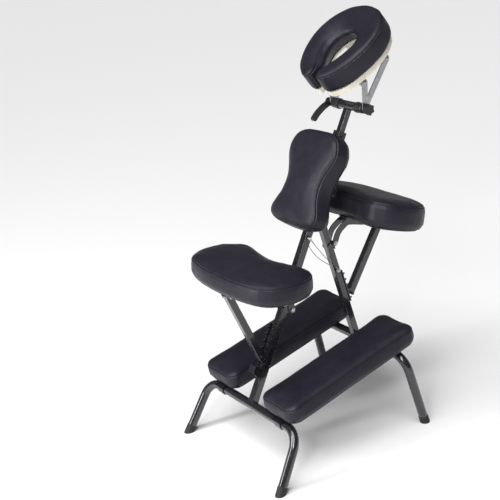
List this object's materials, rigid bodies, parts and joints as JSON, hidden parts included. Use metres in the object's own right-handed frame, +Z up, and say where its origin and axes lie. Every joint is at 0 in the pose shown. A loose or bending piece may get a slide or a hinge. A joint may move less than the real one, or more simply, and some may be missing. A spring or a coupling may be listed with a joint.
{
  "type": "folding kneeling massage chair",
  "caption": "Folding kneeling massage chair: steel A-frame with padded seat, knee rests, chest pad, tilting armrest and a ring-shaped face cradle on a sliding post.",
  "frame": {"origin": "on the floor, under the middle of the bounding box", "axes": "+Z up, +Y the way the sitter faces, +X to the sitter's right"},
  "size_m": [0.4782, 0.6714, 1.1645],
  "materials": {
    "steel": "semi-gloss powder coat",
    "zinc": "bright zinc plate",
    "aluminium": "satin",
    "plastic": "moulded black",
    "rubber": "matte",
    "vinyl": "grained synthetic leather over foam",
    "board": "plywood covered in black cloth",
    "cream": "cream-white moulding"
  },
  "bodies": {
    "frame": {"main_post": "steel", "post_collar": "plastic", "rear_leg_frame": "steel", "rear_foot_left": "rubber", "rear_foot_right": "rubber", "fold_bracket": "steel", "fold_bolt": "zinc", "seat_ratchet": "steel", "seat_lug": "steel", "seat_hinge_bolt": "zinc", "cable_bolt_upper": "zinc", "limit_cable_left": "zinc", "limit_cable_right": "zinc"},
    "front": {"front_post": "steel", "front_leg_frame": "steel", "front_foot_left": "rubber", "front_foot_right": "rubber", "armrest_ratchet": "steel", "armrest_lug": "steel", "armrest_hinge_bolt": "zinc", "cable_bolt_lower": "zinc", "cable_end_left": "zinc", "cable_end_right": "zinc"},
    "knee_left": {"knee_board_left": "board", "knee_pad_left": "vinyl", "knee_hinge_left": "steel", "knee_rest_left": "steel"},
    "knee_right": {"knee_board_right": "board", "knee_pad_right": "vinyl", "knee_hinge_right": "steel", "knee_rest_right": "steel"},
    "seat": {"seat_board": "board", "seat_pad": "vinyl", "seat_bracket": "steel", "seat_strut_bracket": "steel", "seat_strut_bolt": "zinc"},
    "seat_strut": {"seat_strut": "steel"},
    "armrest": {"armrest_board": "board", "armrest_pad": "vinyl", "armrest_bracket": "steel", "armrest_strut_bracket": "steel", "armrest_strut_bolt": "zinc"},
    "armrest_strut": {"armrest_strut": "steel"},
    "chest": {"chest_board": "board", "chest_pad": "vinyl", "chest_carriage": "steel"},
    "chest_knob": {"chest_knob": "plastic"},
    "head": {"head_post": "steel", "bushing_left": "plastic", "bushing_right": "plastic", "cradle_rod": "zinc"},
    "cradle": {"cradle_arm_forehead_left": "aluminium", "cradle_arm_forehead_right": "aluminium", "cradle_arm_chin_left": "aluminium", "cradle_arm_chin_right": "aluminium", "cradle_platform": "cream", "face_cushion": "vinyl"},
    "cam_lever": {"cam_lever": "plastic"},
    "star_knob": {"star_knob": "plastic"}
  },
  "joints": [
    {"name": "frame_fold", "type": "hinge", "parent": "frame", "child": "front", "pos_m": [0, 0.056, 0.59519], "axis": [-1, 0, 0], "range_deg": [0, 30]},
    {"name": "knee_left_lift", "type": "hinge", "parent": "frame", "child": "knee_left", "pos_m": [-0.1375, -0.23413, 0.14243], "axis": [1, 0, 0], "range_deg": [0, 24.5]},
    {"name": "knee_right_lift", "type": "hinge", "parent": "frame", "child": "knee_right", "pos_m": [0.1375, -0.23413, 0.14243], "axis": [1, 0, 0], "range_deg": [0, 24.5]},
    {"name": "seat_tilt", "type": "hinge", "parent": "frame", "child": "seat", "pos_m": [0, -0.07962, 0.38342], "axis": [-1, 0, 0], "range_deg": [0, 10]},
    {"name": "seat_strut_swing", "type": "hinge", "parent": "seat", "child": "seat_strut", "pos_m": [0, -0.271, 0.485], "axis": [1, 0, 0], "range_deg": [0, 9]},
    {"name": "armrest_tilt", "type": "hinge", "parent": "front", "child": "armrest", "pos_m": [0, 0.08726, 0.53151], "axis": [1, 0, 0], "range_deg": [0, 8]},
    {"name": "armrest_strut_swing", "type": "hinge", "parent": "armrest", "child": "armrest_strut", "pos_m": [0, 0.263, 0.539], "axis": [-1, 0, 0], "range_deg": [0, 10]},
    {"name": "chest_slide", "type": "slide", "parent": "frame", "child": "chest", "axis": [0, 0.4811, 0.8766], "range_m": [-0.045, 0]},
    {"name": "chest_knob_turn", "type": "hinge", "parent": "chest", "child": "chest_knob", "pos_m": [0, 0.09524, 0.68019], "axis": [0, 0.8766, -0.4811], "continuous": true},
    {"name": "head_slide", "type": "slide", "parent": "frame", "child": "head", "axis": [0, 0.4811, 0.8766], "range_m": [0, 0.08]},
    {"name": "cradle_tilt", "type": "hinge", "parent": "head", "child": "cradle", "pos_m": [0, 0.18331, 0.903], "axis": [1, 0, 0], "range_deg": [-36, 30]},
    {"name": "cam_lever_swing", "type": "hinge", "parent": "head", "child": "cam_lever", "pos_m": [-0.08, 0.18331, 0.903], "axis": [1, 0, 0], "range_deg": [0, 110]},
    {"name": "star_knob_turn", "type": "hinge", "parent": "head", "child": "star_knob", "pos_m": [0.08, 0.18331, 0.903], "axis": [1, 0, 0], "continuous": true}
  ],
  "couplings": [
    {"joint": "knee_left_lift", "follows": "frame_fold", "ratio": 0.8},
    {"joint": "knee_right_lift", "follows": "frame_fold", "ratio": 0.8},
    {"joint": "seat_strut_swing", "follows": "seat_tilt", "ratio": 0.85},
    {"joint": "armrest_strut_swing", "follows": "armrest_tilt", "ratio": 1.15}
  ]
}
